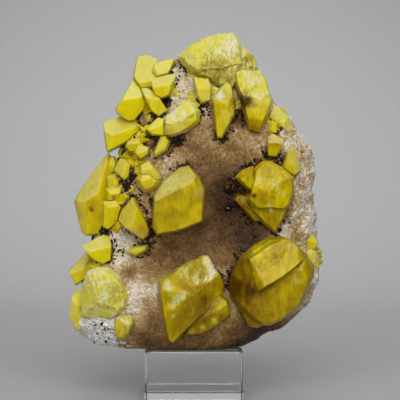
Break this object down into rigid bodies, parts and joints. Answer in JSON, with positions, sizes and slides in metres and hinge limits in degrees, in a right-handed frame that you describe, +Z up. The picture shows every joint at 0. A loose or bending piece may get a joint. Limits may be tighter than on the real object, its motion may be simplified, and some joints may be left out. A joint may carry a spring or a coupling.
{
  "type": "native sulfur crystal specimen",
  "caption": "Native sulfur crystals grown on a lump of drusy calcite, resting on a clear acrylic display block.",
  "frame": {"origin": "centre of the display block's underside, where it stands on a shelf", "axes": "+Z up; the crystals face -Y; +X is to the right seen from the front"},
  "size_m": [0.0869, 0.0523, 0.1259],
  "materials": {
    "sulphur_on_calcite": "resinous translucent yellow crystals on sugary beige calcite",
    "clear_acrylic": "clear polished acrylic with fine bevelled edges"
  },
  "bodies": {
    "root": {"specimen": "sulphur_on_calcite", "display_block": "clear_acrylic"}
  },
  "joints": []
}
